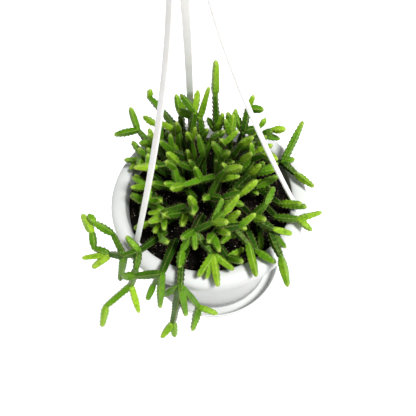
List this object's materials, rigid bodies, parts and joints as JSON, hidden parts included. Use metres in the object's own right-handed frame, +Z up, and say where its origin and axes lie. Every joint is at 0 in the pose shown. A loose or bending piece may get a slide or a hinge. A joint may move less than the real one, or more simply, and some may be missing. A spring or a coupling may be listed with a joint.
{
  "type": "hanging potted cactus",
  "caption": "Mistletoe cactus with jointed, ribbed stems in a round white plastic hanging pot with saucer, flat straps and a hook.",
  "frame": {"origin": "the seat inside the hook, where the hook rests on what it hangs from", "axes": "+Z up along the axis of the pot, -Y towards the viewer of the picture, +X to the right in the picture"},
  "size_m": [0.2357, 0.2289, 0.5061],
  "materials": {
    "pot_plastic": "white, faintly glossy, softly scuffed",
    "strap_plastic": "white, smooth",
    "potting_soil": "damp dark peat and bark crumbs",
    "old_stem": "waxy dark green",
    "young_stem": "waxy bright green"
  },
  "bodies": {
    "root": {"hanger_hook": "strap_plastic", "hanger_strap_1": "strap_plastic", "hanger_strap_2": "strap_plastic", "hanger_strap_3": "strap_plastic", "pot": "pot_plastic", "saucer": "pot_plastic", "soil": "potting_soil", "stem_back_fork": "old_stem", "stem_back_left": "young_stem", "stem_back_pair": "old_stem", "stem_back_right": "young_stem", "stem_back_steps": "young_stem", "stem_back_tip": "old_stem", "stem_fill_00": "old_stem", "stem_fill_01": "old_stem", "stem_fill_02": "old_stem", "stem_fill_03": "old_stem", "stem_fill_04": "old_stem", "stem_fill_05": "old_stem", "stem_fill_06": "old_stem", "stem_fill_08": "old_stem", "stem_fill_09": "old_stem", "stem_fill_11": "old_stem", "stem_fill_13": "old_stem", "stem_fill_14": "old_stem", "stem_fill_16": "old_stem", "stem_fill_20": "old_stem", "stem_fill_21": "old_stem", "stem_fill_22": "old_stem", "stem_fill_23": "old_stem", "stem_fill_29": "old_stem", "stem_fill_38": "old_stem", "stem_front_long": "old_stem", "stem_front_low": "old_stem", "stem_front_right": "old_stem", "stem_front_star": "young_stem", "stem_front_stub": "old_stem", "stem_left_arm": "old_stem", "stem_left_bright": "old_stem", "stem_left_dark": "old_stem", "stem_left_fork": "young_stem", "stem_left_front": "old_stem", "stem_left_low": "old_stem", "stem_left_reach": "old_stem", "stem_right_drop": "old_stem", "stem_right_fork": "old_stem", "stem_right_pair": "old_stem", "stem_right_reach": "old_stem", "stem_right_sweep": "old_stem", "stem_tall_back": "old_stem", "stem_trail_front": "old_stem", "stem_trail_left": "young_stem", "stem_trail_side": "old_stem"}
  },
  "joints": []
}
